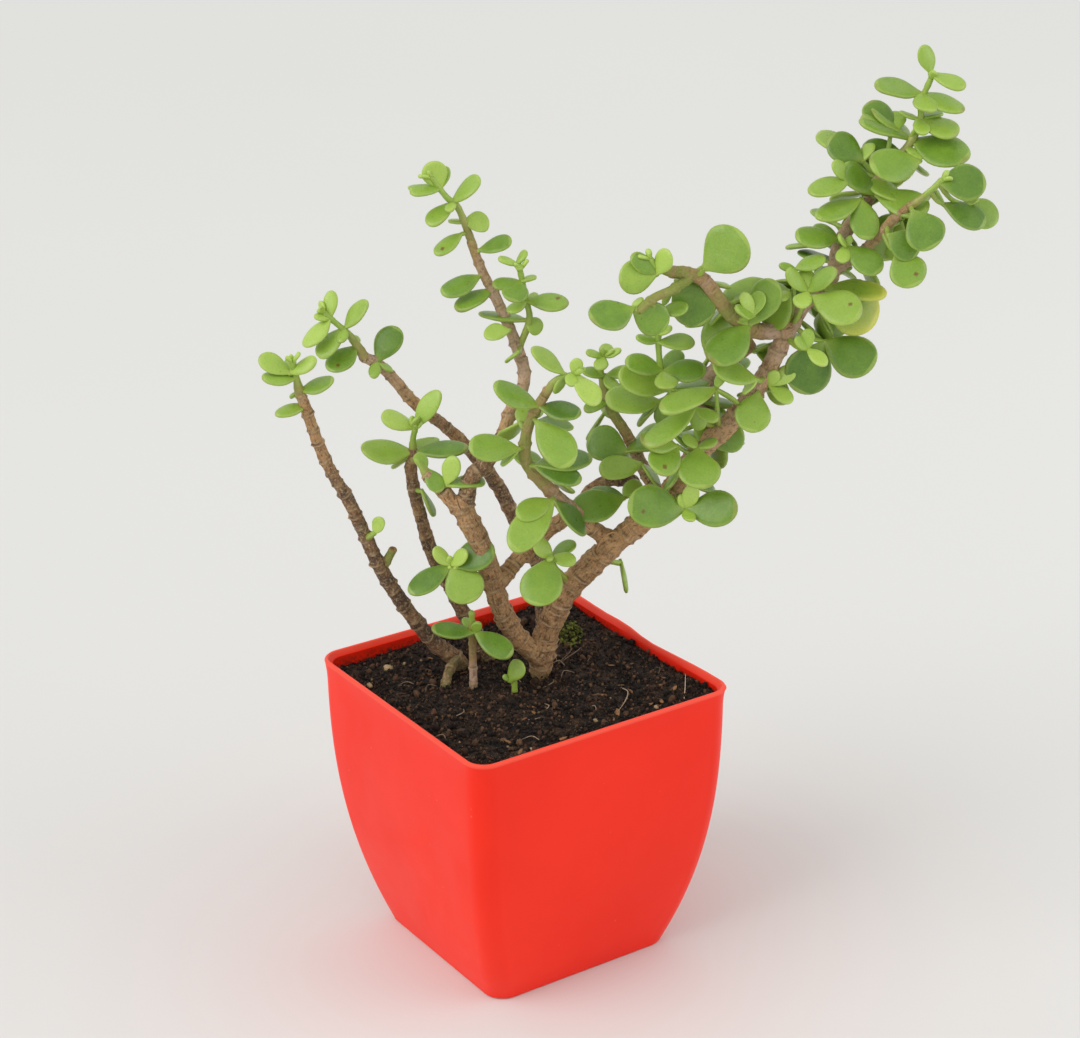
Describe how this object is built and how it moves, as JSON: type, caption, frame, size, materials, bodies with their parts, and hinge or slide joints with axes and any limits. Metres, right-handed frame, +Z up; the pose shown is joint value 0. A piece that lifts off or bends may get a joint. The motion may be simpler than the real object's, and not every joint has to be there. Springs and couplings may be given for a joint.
{
  "type": "potted jade plant",
  "caption": "Potted dwarf jade plant: woody forking stems with thick round green leaves, rooted in soil in a square tapered red plastic pot.",
  "frame": {"origin": "centre of the pot's flat underside, on the surface that it stands on", "axes": "+Z up; X and Y square to the pot's walls, with the tall trunk leaning towards +X and +Y"},
  "size_m": [0.1605, 0.2201, 0.3313],
  "materials": {
    "pot": "moulded red plastic with a satin sheen",
    "soil": "dark crumbly potting mix, matte",
    "bark": "grey-brown ringed bark, greener towards the tips",
    "leaf": "waxy mid green with a soft sheen, lime on new growth"
  },
  "bodies": {
    "root": {"arm_crest": "leaf", "arm_low_leaves": "leaf", "arm_root_leaves": "leaf", "arm_stub": "bark", "arm_stub_tip": "leaf", "arm_tip": "leaf", "back_stem": "bark", "back_tip": "leaf", "cut_branch": "bark", "cut_branch_sprig": "leaf", "cut_spur": "bark", "far_left_bud": "leaf", "far_left_stem": "bark", "far_left_stub": "bark", "far_left_tip": "leaf", "front_fork": "bark", "front_fork_lower": "leaf", "front_fork_middle": "leaf", "front_fork_tip": "leaf", "front_fork_upper": "leaf", "front_left_sprig": "leaf", "front_right_sprig": "leaf", "front_shoot": "bark", "front_shoot_tip": "leaf", "hanging_sprig": "leaf", "left_fork": "bark", "left_stem": "bark", "left_tip": "leaf", "link_branch": "bark", "link_tip": "leaf", "middle_sprig": "leaf", "middle_stem": "bark", "middle_tip": "leaf", "pot": "pot", "right_branch": "bark", "right_leaves": "leaf", "right_tip": "leaf", "root_arm": "bark", "soil": "soil", "soil_sprig": "leaf", "spur_tip": "leaf", "tall_side": "leaf", "tall_stem": "bark", "tall_tip": "leaf", "trunk": "bark", "trunk_leaves_1": "leaf", "trunk_leaves_2": "leaf", "trunk_leaves_3": "leaf", "trunk_leaves_4": "leaf", "trunk_leaves_5": "leaf", "trunk_leaves_6": "leaf", "trunk_leaves_7": "leaf", "trunk_leaves_8": "leaf", "trunk_leaves_9": "leaf", "trunk_tip": "leaf", "upper_arm": "bark", "upright_twig": "leaf"}
  },
  "joints": []
}
